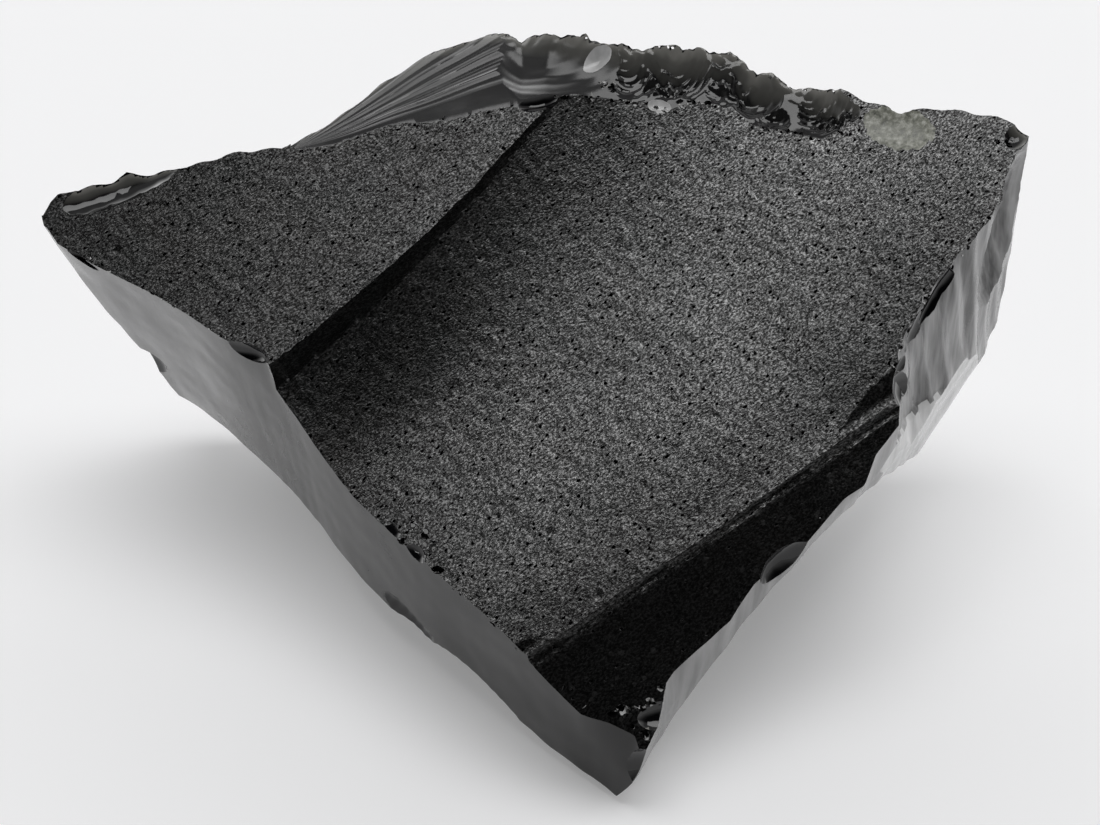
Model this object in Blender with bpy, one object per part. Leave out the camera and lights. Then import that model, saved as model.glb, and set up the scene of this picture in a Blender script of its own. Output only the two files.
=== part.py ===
"""Obsidian chunk: one broken piece of volcanic glass, 100 mm wide.

The stone is what is left of a block after each fracture has taken its slab away. A grainy, pitted
top carries a raised plate, a step, a shallow trough and a falling front bevel. Every other side is a
glassy conchoidal break, with smaller shell-shaped scars along the edges. The lowest break is a flat
facet, and the stone rests on it. Sizes are in millimetres until MM turns a finished mesh into metres.
"""

import math

import bmesh
import bpy
from mathutils import Matrix, Vector, noise

MM = 0.001

# Driving dimensions of the whole stone.
BLOCK_SIZE = (130.0, 100.0, 70.0)
BLOCK_CENTRE = (0.0, 2.0, 26.0)
HEART = Vector((0.0, 4.0, 18.0))
SLAB_DEPTH = 60.0
REACH = 80.0

# The plane of the grainy top runs through the two ends of the step and the left tip.
STEP_FOOT = Vector((-27.6, 3.3, 28.8))
STEP_HEAD = Vector((-0.5, 26.3, 42.6))
LEFT_TIP = Vector((-51.4, 18.2, 33.6))


def clear_scene():
    for old in list(bpy.data.objects):
        bpy.data.objects.remove(old, do_unlink=True)


def new_collection(name):
    group = bpy.data.collections.new(name)
    bpy.context.scene.collection.children.link(group)
    return group


def obsidian(name, colour, roughness):
    material = bpy.data.materials.new(name)
    material.use_nodes = True
    shader = material.node_tree.nodes["Principled BSDF"]
    shader.inputs["Base Color"].default_value = (*colour, 1.0)
    shader.inputs["Roughness"].default_value = roughness
    shader.inputs["Metallic"].default_value = 0.0
    shader.inputs["IOR"].default_value = 1.5
    return material


def at_station(stations, s):
    """The values at distance s, read in straight lines between the stations on either side."""
    if s <= stations[0][0]:
        return stations[0][1:]
    for before, after in zip(stations, stations[1:]):
        if s <= after[0]:
            t = (s - before[0]) / (after[0] - before[0])
            return tuple(a + (b - a) * t for a, b in zip(before[1:], after[1:]))
    return stations[-1][1:]


def fade(values, x, start, end):
    """Goes smoothly from the first value at start to the second at end."""
    t = min(max((x - start) / (end - start), 0.0), 1.0)
    return values[0] + (values[1] - values[0]) * t * t * (3.0 - 2.0 * t)


def swell(x, y, size, seed):
    """A slow unevenness between about -1 and 1, with lumps about size across."""
    return noise.noise(Vector((x / size, y / size, seed)))


def finish_object(name, bm, group, material):
    bmesh.ops.triangulate(bm, faces=bm.faces[:])
    bmesh.ops.recalc_face_normals(bm, faces=bm.faces[:])
    mesh = bpy.data.meshes.new(name)
    bm.to_mesh(mesh)
    bm.free()
    mesh.materials.append(material)
    obj = bpy.data.objects.new(name, mesh)
    group.objects.link(obj)
    return obj


def slab(name, origin, along, out, x_range, y_range, cell, face, material, depth=SLAB_DEPTH):
    """A closed slab to cut away. Its inner side is a fracture surface: face(x, y) gives the height
    of the surface at a point of the plane through origin, or the whole place of that point."""
    along = (along - along.dot(out.normalized()) * out.normalized()).normalized()
    out = out.normalized()
    frame = Matrix((along, out.cross(along), out)).transposed().to_4x4()
    frame.translation = origin
    columns = round((x_range[1] - x_range[0]) / cell)
    rows = round((y_range[1] - y_range[0]) / cell)
    bm = bmesh.new()
    bmesh.ops.create_grid(bm, x_segments=columns, y_segments=rows, size=0.5)
    for vert in bm.verts:
        x = x_range[0] + (vert.co.x + 0.5) * (x_range[1] - x_range[0])
        y = y_range[0] + (vert.co.y + 0.5) * (y_range[1] - y_range[0])
        place = face(x, y)
        vert.co = place if isinstance(place, Vector) else (x, y, place)
    raised = bmesh.ops.extrude_face_region(bm, geom=bm.faces[:])["geom"]
    for vert in raised:
        if isinstance(vert, bmesh.types.BMVert):
            vert.co.z = depth
    bmesh.ops.transform(bm, matrix=Matrix.Scale(MM, 4) @ frame, verts=bm.verts[:])
    return finish_object(name, bm, cutters, material)


def facet(name, points, x_range, y_range, cell, face, material):
    """A slab whose plane runs through three points, with x from the first to the second."""
    a, b, c = (Vector(point) for point in points)
    out = (b - a).cross(c - a)
    if out.dot(a - HEART) < 0.0:
        out.negate()
    return slab(name, a, b - a, out, x_range, y_range, cell, face, material)


def wall(name, start, end, stations, cell, relief):
    """A standing break from start to end in plan. A station gives the distance along the wall, how
    far out its upper edge lies, the height of that edge, and the outward lean per mm of height."""
    start, end = Vector((*start, 0.0)), Vector((*end, 0.0))
    along = end - start
    out = along.cross(Vector((0.0, 0.0, 1.0)))

    def face(x, z):
        outset, height, lean = at_station(stations, x)
        return outset + lean * (z - height) + relief(x, z)

    x_range = (-50.0, along.length + 50.0)
    return slab(name, start, along, out, x_range, (-12.0, 66.0), cell, face, glass)


def scar(name, spot, facing, along, length, width, depth, rings=0.0):
    """A shell-shaped break at spot: a shallow bowl, length by width and depth deep, with ripples
    that spread from the end it was struck at."""
    ripple = max(length, width) / 5.0

    def face(x, y):
        bowl = -depth * (1.0 - (2.0 * x / length) ** 2 - (2.0 * y / width) ** 2)
        from_blow = math.hypot(x + length / 2.0, y)
        return bowl + rings * math.sin(2.0 * math.pi * from_blow / ripple)

    cell = max(min(length, width) / 6.0, 0.45)
    half_x, half_y = 0.8 * length, 0.8 * width
    return slab(
        name, Vector(spot), Vector(along), Vector(facing),
        (-half_x, half_x), (-half_y, half_y), cell, face, glass, SCAR_REACH,
    )


clear_scene()
stone_parts = new_collection("obsidian_chunk")
cutters = new_collection("fracture_cutters")
skin = obsidian("pitted_obsidian_skin", (0.022, 0.023, 0.022), 0.55)
glass = obsidian("glassy_obsidian", (0.006, 0.006, 0.007), 0.06)


# The raised plate: one gently uneven grainy plane.
def plate_face(x, y):
    return 0.25 * swell(x, y, 16.0, 1.0)


TOP_POINTS = (STEP_FOOT, STEP_HEAD, LEFT_TIP)
facet("plate", TOP_POINTS, (-REACH, REACH), (-REACH, REACH), 4.0, plate_face, skin)

# The trough on the right of the step: x runs up along the step, and across is the distance from its
# crest. The scarp and the depth at the far side die away up the stone. The dip between them is deepest
# a third of the way across, where DIP_FULL brings it to its listed depth.
STEP_LENGTH = 38.0
SCARP_HEIGHTS = (2.5, 0.4)
FAR_DEPTHS = (3.1, 0.8)
TROUGH_DIPS = (2.3, 1.8)
DIP_FULL = 6.75
TROUGH_WIDTH = 37.5
TROUGH_FLARE = 0.15
CREST_BOW = 1.1
SCARP_SLOPE = 2.2
SCARP_OVERLAP = 0.7
TROUGH_CELL = 2.3


def trough_face(x, y):
    scarp = fade(SCARP_HEIGHTS, x, 0.0, 45.0)
    far = fade(FAR_DEPTHS, x, 34.0, 64.0)
    dip = fade(TROUGH_DIPS, x, 10.0, 60.0)
    crest = -CREST_BOW * math.sin(math.pi * min(max(x / STEP_LENGTH, 0.0), 1.0))
    across = -y
    if across < 0.5 * TROUGH_CELL:
        rise = y + SCARP_OVERLAP
        return Vector((x, crest + rise, rise * SCARP_SLOPE))
    if across < 1.5 * TROUGH_CELL:
        across = scarp / SCARP_SLOPE
    t = min(across / (TROUGH_WIDTH + TROUGH_FLARE * x), 1.0)
    floor = scarp + (far - scarp) * t + dip * DIP_FULL * t * (1.0 - t) ** 2
    return Vector((x, crest - across, 0.2 * swell(x, across, 9.0, 2.0) * t - floor))


facet(
    "trough", TOP_POINTS, (-36 * TROUGH_CELL, 34 * TROUGH_CELL),
    (-30 * TROUGH_CELL, 4 * TROUGH_CELL), TROUGH_CELL, trough_face, skin,
)

# The front bevel falls away from a crease along the far side of the trough, and bows out halfway.
BEVEL = ((-2.9, -21.4, 16.0), (33.9, 0.6, 30.8), (24.0, -13.9, 19.6))
BEVEL_BOW = 0.45
BEVEL_LENGTH = 46.0


def bevel_face(x, y):
    along = min(max((x + 4.0) / BEVEL_LENGTH, 0.0), 1.0)
    return BEVEL_BOW * math.sin(math.pi * along) + 0.3 * swell(x, y, 9.0, 3.0)


facet("bevel", BEVEL, (-REACH, REACH), (-REACH, REACH), 4.0, bevel_face, skin)

# The fan: a glassy break behind the plate. Its ribs spread from the left end and bend upwards a
# little, so the grid spreads with them: columns are degrees of turn, and rows run out along the ribs.
FAN = ((-26.4, 24.1, 38.9), (-2.9, 27.1, 42.7), (-5.1, 37.6, 44.0))
FAN_TURNS = (-14.0, 94.0)
FAN_CELL = 2.0
FAN_ROWS = 14
FAN_START = 0.3
FAN_WIDTH = 23.8
FAN_SKEW = 0.13
FAN_REACH = 33.0
FAN_BEND = 8.0
FAN_BEND_REACH = 8.0
RIB_TURN = 6.0
RIB_SLOPE = 0.012


def fan_face(turn, row):
    end_turn = math.radians(max(turn, 0.0) + FAN_BEND)
    far = min(FAN_WIDTH / max(math.cos(end_turn) - FAN_SKEW * math.sin(end_turn), 0.1), FAN_REACH)
    reach = FAN_START + (far - FAN_START) * row / (FAN_ROWS * FAN_CELL)
    bend = FAN_BEND * (1.0 - math.exp(-reach / FAN_BEND_REACH))
    angle = math.radians(turn + bend)
    x, y = reach * math.cos(angle), reach * math.sin(angle)
    ribs = abs(math.sin(math.pi * max(turn, 0.0) / RIB_TURN))
    return Vector((x, y, 0.25 * swell(x, y, 7.0, 4.0) - RIB_SLOPE * ribs * reach))


facet("fan", FAN, FAN_TURNS, (0.0, FAN_ROWS * FAN_CELL), FAN_CELL, fan_face, glass)

# Shells struck off along the back edge, right of the fan. A station gives the way across, then how
# far back and how high the front edge of the shells lies, and the same for their crest.
BACK_EDGE = (
    (-3.1, 27.0, 42.7, 37.0, 43.4),
    (-0.3, 27.1, 43.0, 35.7, 44.9),
    (2.9, 28.1, 42.9, 34.6, 45.5),
    (7.2, 27.8, 42.3, 33.6, 45.2),
    (12.1, 26.9, 41.6, 33.2, 45.1),
    (16.6, 27.4, 42.1, 32.9, 44.9),
    (18.9, 26.6, 41.8, 32.5, 44.6),
    (20.6, 25.2, 41.2, 31.0, 43.9),
    (22.9, 24.6, 41.1, 29.7, 43.7),
    (27.6, 23.1, 41.1, 28.6, 43.1),
    (29.9, 24.0, 41.9, 27.3, 43.6),
    (31.3, 24.8, 42.5, 26.7, 43.8),
)
# Each shell: where it starts and ends, and how deep it is.
SHELLS = ((-3.1, 6.0, 0.9), (6.0, 12.0, 1.1), (12.0, 18.5, 1.4), (18.5, 24.6, 1.2), (24.6, 31.3, 1.5))
SHELL_SKEW = 0.25
SHELL_CELL = 0.95


def back_shells(x, y):
    front, front_height, crest, crest_height = at_station(BACK_EDGE, x)
    beyond = max(SHELLS[0][0] - x, x - SHELLS[-1][1], 0.0)
    if y < front:
        return front_height + 0.5 * (front - y) + beyond
    t = (y - front) / (crest - front)
    height = front_height + (crest_height - front_height) * t + beyond
    leaning = x + SHELL_SKEW * (y - front)
    for start, end, depth in SHELLS:
        if start < leaning <= end:
            across = (leaning - start) / (end - start)
            hollow = 0.25 + 3.0 * across * (1.0 - across)
            height -= 4.0 * depth * hollow * t * max(1.0 - t, 0.0)
    return height


slab(
    "back_shells", Vector((0.0, 0.0, 0.0)), Vector((1.0, 0.0, 0.0)), Vector((0.0, 0.0, 1.0)),
    (-8.0, -8.0 + 46 * SHELL_CELL), (18.0, 18.0 + 26 * SHELL_CELL), SHELL_CELL, back_shells, glass,
)

# The four standing breaks, each a list of stations.
LEFT_WALL = (
    (0.0, 0.0, 33.6, 0.25),
    (2.0, 0.5, 33.0, 0.28),
    (4.0, 0.3, 32.7, 0.31),
    (10.5, -0.6, 31.5, 0.33),
    (17.5, -1.8, 30.5, 0.25),
    (22.5, -2.2, 29.6, 0.20),
    (27.0, -3.1, 29.0, 0.15),
    (28.2, -2.8, 27.0, 0.14),
    (33.5, -1.8, 23.7, 0.10),
    (40.0, -0.8, 20.8, 0.06),
    (48.5, 0.3, 18.0, 0.06),
    (57.0, 1.0, 16.4, 0.07),
    (62.5, 1.5, 15.7, 0.07),
    (70.5, 1.5, 11.7, 0.05),
    (73.0, 0.1, 10.9, -0.08),
    (75.5, -0.8, 9.6, -0.15),
    (77.0, 0.0, 8.0, -0.15),
)
BEVEL_WALL = (
    (0.0, 0.0, 8.0, 0.10),
    (2.8, -0.6, 9.9, 0.10),
    (5.5, -2.2, 12.6, 0.05),
    (6.7, -2.3, 13.3, 0.08),
    (9.6, -1.8, 14.4, 0.12),
    (13.5, -1.0, 15.8, 0.12),
    (17.0, -1.3, 18.0, 0.05),
    (20.0, -0.9, 19.1, 0.15),
    (22.0, -0.3, 19.6, 0.15),
    (28.4, 0.3, 22.6, 0.15),
    (30.6, 1.0, 23.2, 0.15),
    (33.2, 0.1, 25.2, 0.15),
    (36.3, 0.0, 26.9, 0.15),
)
RIGHT_WALL = (
    (-1.1, 0.4, 28.1, -0.05),
    (1.4, -0.4, 29.4, -0.05),
    (3.6, -1.8, 30.7, -0.06),
    (4.9, -2.8, 31.5, -0.08),
    (8.3, -2.6, 33.4, -0.08),
    (10.9, -2.2, 34.8, -0.08),
    (14.2, -1.3, 36.7, -0.08),
    (17.0, -0.3, 38.0, -0.03),
    (22.1, 0.5, 40.4, 0.0),
    (25.6, -0.3, 42.2, 0.0),
    (27.7, 0.0, 43.1, 0.0),
)
BACK_WALL = (
    (-0.2, 0.3, 43.3, 0.02),
    (1.2, 2.3, 44.0, 0.02),
    (3.3, 3.2, 44.1, 0.04),
    (7.7, 4.4, 44.1, 0.10),
    (12.7, 5.2, 43.7, 0.18),
    (16.4, 6.7, 43.1, 0.26),
    (20.3, 8.7, 43.1, 0.34),
    (22.9, 8.9, 42.9, 0.38),
    (26.5, 10.4, 43.7, 0.42),
    (29.4, 12.8, 44.7, 0.42),
    (36.4, 13.2, 45.1, 0.42),
    (42.2, 13.7, 45.7, 0.42),
    (47.0, 15.0, 45.0, 0.42),
    (49.5, 16.4, 44.4, 0.42),
    (53.0, 17.6, 44.0, 0.42),
    (59.7, 16.1, 42.8, 0.38),
    (65.3, 12.5, 41.5, 0.28),
    (68.6, 9.0, 40.5, 0.18),
    (72.0, 6.3, 39.6, 0.10),
    (75.4, 4.3, 38.8, 0.06),
    (80.2, 4.2, 38.4, 0.05),
    (85.0, 3.3, 37.8, 0.04),
    (91.7, 3.4, 36.9, 0.02),
    (93.2, 2.6, 36.4, 0.0),
    (98.9, 1.2, 35.0, 0.0),
    (100.0, -0.6, 34.1, 0.0),
)


def wall_relief(x, z):
    return 0.3 * swell(x, z, 9.0, 5.0)


def fluted_relief(x, z):
    """Upright flutes, a little askew, as on the right side of the stone."""
    return 0.22 * math.sin(2.0 * math.pi * (x + 0.25 * z) / 3.1) + 0.3 * swell(x, z, 7.0, 7.0)


wall("left_wall", (-51.4, 18.2), (8.9, -29.8), LEFT_WALL, 2.5, wall_relief)
wall("bevel_wall", (8.9, -29.8), (34.1, -3.7), BEVEL_WALL, 2.5, wall_relief)
wall("right_wall", (34.1, -3.7), (47.8, 20.4), RIGHT_WALL, 2.0, fluted_relief)
wall("back_wall", (48.0, 20.0), (-52.0, 20.0), BACK_WALL, 2.6, wall_relief)

# The undersides: two points on the edge above, and one nearer the base.
UNDERSIDES = {
    "under_wing": ((-51.8, 19.3, 33.6), (-43.2, 19.9, 14.0), (-43.2, 30.0, 14.0)),
    "under_left": ((-41.0, 17.0, 9.0), (4.0, -29.0, 1.8), (-10.0, 2.0, 0.0)),
    "right_low": ((33.9, -4.8, 28.1), (46.0, 17.1, 16.0), (39.4, 9.7, 9.0)),
    "under_right": ((39.4, 9.7, 9.0), (46.0, 17.1, 16.0), (24.0, 8.0, 0.0)),
}


def under_face(x, y):
    return 0.6 * swell(x, y, 13.0, 6.0)


for name, points in UNDERSIDES.items():
    facet(name, points, (-REACH, REACH), (-REACH, REACH), 4.0, under_face, glass)

# Below the bevel the break is a hollow shell that curves out again towards the right-hand corner.
UNDER_BEVEL = ((7.7, -28.8, 2.5), (24.0, -12.7, 17.0), (14.0, -8.0, 0.0))
UNDER_STRAIGHT = 29.0
UNDER_CURVE = 0.036


def under_bevel_face(x, y):
    return UNDER_CURVE * max(x - UNDER_STRAIGHT, 0.0) ** 2 + under_face(x, y)


facet("under_bevel", UNDER_BEVEL, (-REACH, 0.75 * REACH), (-REACH, REACH), 4.0, under_bevel_face, glass)

# Shell-shaped scars: spot, way it faces, way the blow ran, length, width, depth, ripple height.
SCAR_REACH = 24.0
TOP_OUT = (-0.09, -0.43, 0.90)
LEFT_OUT = (-0.62, -0.76, -0.10)
RIGHT_OUT = (0.87, -0.45, 0.15)
SCARS = {
    "arc_scar": ((-5.8, 30.9, 42.9), (-0.14, -0.15, 0.98), (0.3, 0.9, 0.2), 9.0, 6.6, 0.5, 0.0),
    "oval_flake": ((34.6, 23.6, 42.8), TOP_OUT, (0.9, -0.3, 0.0), 8.6, 6.4, 0.7, 0.0),
    "wing_strip": ((-46.7, 21.0, 35.4), TOP_OUT, (0.94, 0.33, 0.2), 12.6, 5.2, 0.8, 0.0),
    "step_head_chip": ((-1.0, 27.2, 42.6), TOP_OUT, (1.0, 0.3, 0.0), 3.6, 1.8, 0.6, 0.0),
    "left_slot": ((-47.3, 14.8, 31.6), LEFT_OUT, (0.7, -0.6, -0.3), 4.0, 1.5, 0.5, 0.0),
    "plate_corner": ((-29.4, 4.2, 28.6), (-0.7, -0.6, 0.4), (0.7, -0.6, 0.3), 3.0, 2.0, 0.7, 0.0),
    "left_chip_1": ((-25.0, -0.4, 24.4), (-0.6, -0.6, 0.6), (0.7, -0.7, -0.3), 3.2, 2.4, 0.8, 0.0),
    "left_chip_2": ((-18.3, -7.4, 20.4), (-0.6, -0.6, 0.6), (0.7, -0.7, -0.3), 2.2, 1.6, 0.5, 0.0),
    "left_chip_3": ((-15.6, -10.2, 19.0), (-0.5, -0.6, 0.6), (0.7, -0.7, -0.3), 3.4, 2.6, 0.8, 0.0),
    "left_chip_4": ((-13.2, -12.6, 17.9), (-0.5, -0.6, 0.7), (0.7, -0.7, -0.3), 3.0, 2.4, 0.7, 0.0),
    "tip_chip_1": ((6.6, -27.6, 10.2), (-0.4, -0.7, 0.6), (1.0, -0.3, 0.0), 3.6, 2.4, 0.7, 0.0),
    "tip_chip_2": ((10.6, -25.0, 12.0), (0.6, -0.4, 0.6), (0.5, 0.8, 0.3), 3.6, 2.4, 0.7, 0.0),
    "tip_facet": ((8.0, -29.5, 6.0), (0.1, -1.0, 0.2), (1.0, 0.2, 0.0), 5.0, 4.5, 0.7, 0.0),
    "bevel_shell_1": ((21.8, -15.2, 18.2), (0.7, -0.6, 0.3), (0.6, 0.6, 0.5), 5.0, 3.6, 1.0, 0.0),
    "bevel_shell_2": ((18.2, -18.8, 14.0), (0.8, -0.6, 0.0), (0.6, 0.6, 0.6), 5.0, 3.0, 0.9, 0.0),
    "bevel_shell_3": ((14.0, -22.0, 12.5), (0.7, -0.7, 0.1), (0.6, 0.6, 0.5), 5.5, 3.4, 0.7, 0.0),
    "right_notch_1": ((34.8, 1.6, 31.0), RIGHT_OUT, (0.4, 0.8, 0.5), 6.0, 5.0, 1.2, 0.0),
    "right_notch_2": ((37.0, 5.4, 32.6), RIGHT_OUT, (0.4, 0.8, 0.5), 6.0, 5.5, 1.3, 0.0),
    "right_notch_3": ((39.5, 8.6, 35.6), RIGHT_OUT, (0.4, 0.8, 0.5), 5.0, 4.0, 0.9, 0.0),
    "right_shelf": ((43.5, 12.5, 33.0), RIGHT_OUT, (0.3, 0.5, 0.9), 11.0, 7.0, 0.9, 0.08),
    "right_tip_chip": ((46.3, 20.2, 43.3), (0.1, -0.2, 1.0), (0.3, 0.9, 0.2), 3.4, 2.6, 0.6, 0.0),
    "under_shell_1": ((-42.5, 17.6, 14.8), (-0.7, -0.3, -0.6), (0.7, -0.5, -0.3), 5.0, 4.0, 1.0, 0.0),
    "under_shell_2": ((-29.5, 7.5, 7.4), (-0.6, -0.5, -0.6), (0.7, -0.6, -0.1), 8.0, 4.0, 0.8, 0.0),
    "under_shell_3": ((-20.0, -6.0, 5.2), (-0.6, -0.5, -0.7), (0.7, -0.7, -0.1), 8.0, 4.4, 1.0, 0.0),
    "under_shell_5": ((-5.5, -20.5, 3.6), (-0.5, -0.6, -0.7), (0.7, -0.7, -0.1), 7.0, 4.0, 0.9, 0.0),
    "back_scoop_1": ((-6.0, 30.0, 20.0), (-0.3, 0.9, -0.3), (0.3, 0.2, 1.0), 36.0, 30.0, 4.0, 0.25),
    "back_scoop_2": ((22.0, 24.0, 20.0), (0.3, 0.9, -0.3), (0.2, 0.2, 1.0), 34.0, 26.0, 3.5, 0.25),
}
for name, (spot, facing, along, length, width, depth, rings) in SCARS.items():
    scar(name, spot, facing, along, length, width, depth, rings)

# The base: the flat facet that the stone rests on.
slab(
    "base", Vector((0.0, 0.0, 0.0)), Vector((1.0, 0.0, 0.0)), Vector((0.0, 0.0, -1.0)),
    (-REACH, REACH), (-REACH, REACH), 2.0 * REACH, lambda x, y: 0.0, glass,
)

# The block, with every slab cut from it.
bm = bmesh.new()
bmesh.ops.create_cube(bm, size=1.0)
block = Matrix.Translation(BLOCK_CENTRE) @ Matrix.Diagonal((*BLOCK_SIZE, 1.0))
bmesh.ops.transform(bm, matrix=Matrix.Scale(MM, 4) @ block, verts=bm.verts[:])
chunk = finish_object("obsidian_chunk", bm, stone_parts, skin)
for cutter in cutters.objects:
    cutter.hide_render = True
    cutter.display_type = "WIRE"
    cut = chunk.modifiers.new("cut_" + cutter.name, "BOOLEAN")
    cut.operation = "DIFFERENCE"
    cut.solver = "EXACT"
    cut.object = cutter
    cut.material_mode = "TRANSFER"
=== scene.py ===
import math
import random

import bmesh
import bpy
from mathutils import Matrix, Vector, noise
from mathutils.bvhtree import BVHTree


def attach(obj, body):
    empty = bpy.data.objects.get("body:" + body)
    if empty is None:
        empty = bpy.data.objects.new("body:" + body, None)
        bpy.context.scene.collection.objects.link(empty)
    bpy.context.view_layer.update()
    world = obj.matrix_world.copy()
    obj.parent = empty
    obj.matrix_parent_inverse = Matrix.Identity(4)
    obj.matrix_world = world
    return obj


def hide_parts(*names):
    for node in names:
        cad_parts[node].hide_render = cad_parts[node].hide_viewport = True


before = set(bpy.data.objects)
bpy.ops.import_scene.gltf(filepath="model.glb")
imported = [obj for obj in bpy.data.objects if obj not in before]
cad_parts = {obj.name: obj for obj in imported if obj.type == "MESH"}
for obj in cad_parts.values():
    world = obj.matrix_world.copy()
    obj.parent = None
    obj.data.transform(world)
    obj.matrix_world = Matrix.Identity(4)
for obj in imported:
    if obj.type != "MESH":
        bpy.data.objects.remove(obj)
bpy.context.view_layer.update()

# ---------------------------------------------------------------------------------------------
# The stone is one lump of volcanic glass, and it is carved here as it broke. Every break is a slab
# with one worked side, and in the end all slabs are cut from a block. Its sizes are in millimetres,
# and each slab shrinks to metres as it is made.
# ---------------------------------------------------------------------------------------------

MM = 0.001
HEART = Vector((0.0, 4.0, 18.0))
SLAB_DEPTH = 60.0
X_AXIS, Z_AXIS = Vector((1.0, 0.0, 0.0)), Vector((0.0, 0.0, 1.0))
cutters = []


def swell(x, y, size, seed):
    """Smooth noise about as wide as size, which stays between -1 and 1."""
    return noise.noise(Vector((x / size, y / size, seed)))


def fade(values, x, start, end):
    """Eases from the first value to the second while x runs from start to end."""
    t = min(max((x - start) / (end - start), 0.0), 1.0)
    return values[0] + (values[1] - values[0]) * t * t * (3.0 - 2.0 * t)


def lines(start, fine_start, fine_end, end, cell, coarse=4.0):
    """Grid lines that stand a cell apart in the fine stretch and further apart outside it."""
    fine = round((fine_end - fine_start) / cell)
    before = max(round((fine_start - start) / coarse), 1)
    after = max(round((end - fine_end) / coarse), 1)
    return (
        [start + (fine_start - start) * i / before for i in range(before)]
        + [fine_start + (fine_end - fine_start) * i / fine for i in range(fine)]
        + [fine_end + (end - fine_end) * i / after for i in range(after + 1)]
    )


def add_cutter(name, bm, *materials):
    bmesh.ops.recalc_face_normals(bm, faces=bm.faces[:])
    mesh = bpy.data.meshes.new(name)
    bm.to_mesh(mesh)
    bm.free()
    for material in materials:
        mesh.materials.append(material)
    cutters.append(bpy.data.objects.new(name, mesh))


def slab(name, origin, along, out, xs, ys, face, material, depth=SLAB_DEPTH, patch=None):
    """A closed slab to cut away. Its inner side has the height face(x, y) at each crossing of the
    grid lines xs and ys in the plane through origin, or lies where face says. A patch is a second
    material and the test that says where it lies."""
    out = out.normalized()
    along = (along - along.dot(out) * out).normalized()
    turned = Matrix((along, out.cross(along), out)).transposed().to_4x4()
    turned.translation = origin
    bm = bmesh.new()
    bmesh.ops.create_grid(bm, x_segments=len(xs) - 1, y_segments=len(ys) - 1, size=0.5)
    for vert in bm.verts:
        x = xs[round((vert.co.x + 0.5) * (len(xs) - 1))]
        y = ys[round((vert.co.y + 0.5) * (len(ys) - 1))]
        spot = face(x, y)
        vert.co = spot if isinstance(spot, Vector) else (x, y, spot)
    if patch:
        for cell in bm.faces:
            middle = cell.calc_center_median()
            cell.material_index = int(patch[1](middle.x, middle.y))
    rim = [edge for edge in bm.edges if edge.is_boundary]
    for item in bmesh.ops.extrude_edge_only(bm, edges=rim)["geom"]:
        if isinstance(item, bmesh.types.BMVert):
            item.co.z = depth
    bmesh.ops.contextual_create(bm, geom=[edge for edge in bm.edges if edge.is_boundary])
    bmesh.ops.transform(bm, matrix=Matrix.Scale(MM, 4) @ turned, verts=bm.verts[:])
    add_cutter(name, bm, *((material, patch[0]) if patch else (material,)))


def facet(name, points, xs, ys, face, material, patch=None):
    """A slab on the plane through three points, with x running from the first to the second."""
    a, b, c = (Vector(point) for point in points)
    out = (b - a).cross(c - a)
    if out.dot(a - HEART) < 0.0:
        out.negate()
    slab(name, a, b - a, out, xs, ys, face, material, SLAB_DEPTH, patch)


# ---------------------------------------------------------------------------------------------
# The skin is the old outer surface: black glass gone dull, dense with drawn-out grains and small
# burst bubbles. It is a raised plate at the left, a low step down into a wide shallow trough, and
# a bevel that falls away to the right behind two thin ridges.
# ---------------------------------------------------------------------------------------------


def fill(made, inputs):
    """Links or sets the inputs of a node by name."""
    for name, value in inputs.items():
        socket = made.inputs[name.replace("_", " ")]
        if isinstance(value, bpy.types.NodeSocket):
            made.id_data.links.new(value, socket)
        else:
            socket.default_value = value
    return made


def node(tree, kind, **inputs):
    return fill(tree.nodes.new(kind), inputs)


def placed_group(tree, name, **inputs):
    made = tree.nodes.new("ShaderNodeGroup")
    made.node_tree = bpy.data.node_groups[name]
    return fill(made, inputs)


def ramp(tree, factor, *stops):
    made = tree.nodes.new("ShaderNodeValToRGB")
    tree.links.new(factor, made.inputs["Fac"])
    elements = made.color_ramp.elements
    while len(elements) < len(stops):
        elements.new(0.5)
    for element, (position, colour) in zip(elements, stops):
        element.position = position
        element.color = (*colour, 1.0) if isinstance(colour, tuple) else (colour, colour, colour, 1.0)
    return made.outputs["Color"]


def math_node(tree, operation, first, second):
    made = tree.nodes.new("ShaderNodeMath")
    made.operation = operation
    for socket, value in zip(made.inputs, (first, second)):
        if isinstance(value, bpy.types.NodeSocket):
            tree.links.new(value, socket)
        else:
            socket.default_value = value
    return made.outputs["Value"]


def remap(tree, value, from_range, to_range):
    """Eases a value from one range into another."""
    made = tree.nodes.new("ShaderNodeMapRange")
    made.interpolation_type = "SMOOTHSTEP"
    tree.links.new(value, made.inputs["Value"])
    for name, number in zip(("From Min", "From Max", "To Min", "To Max"), (*from_range, *to_range)):
        made.inputs[name].default_value = number
    return made.outputs["Result"]


def blended(tree, blend_type, factor, first, second):
    """One colour multiplied by another or added to it, by as much as factor says."""
    made = node(tree, "ShaderNodeMix", Factor=factor)
    made.data_type = "RGBA"
    made.blend_type = blend_type
    tree.links.new(first, made.inputs["A"])
    tree.links.new(second, made.inputs["B"])
    return made.outputs["Result"]


def mapping(tree, place, location, turn, scale):
    """Turns and stretches a pattern about a spot on the stone."""
    made = node(tree, "ShaderNodeMapping", Vector=place, Location=location, Rotation=turn, Scale=scale)
    made.vector_type = "TEXTURE"
    return made.outputs["Vector"]


def rounded_patch(tree, place, spot, turn_degrees, half_sizes):
    """A mask that is one at the spot and fades to nothing at the half sizes."""
    turn = (0.0, 0.0, math.radians(turn_degrees))
    made = node(tree, "ShaderNodeTexGradient", Vector=mapping(tree, place, spot, turn, half_sizes))
    made.gradient_type = "SPHERICAL"
    return made.outputs["Fac"]


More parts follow.
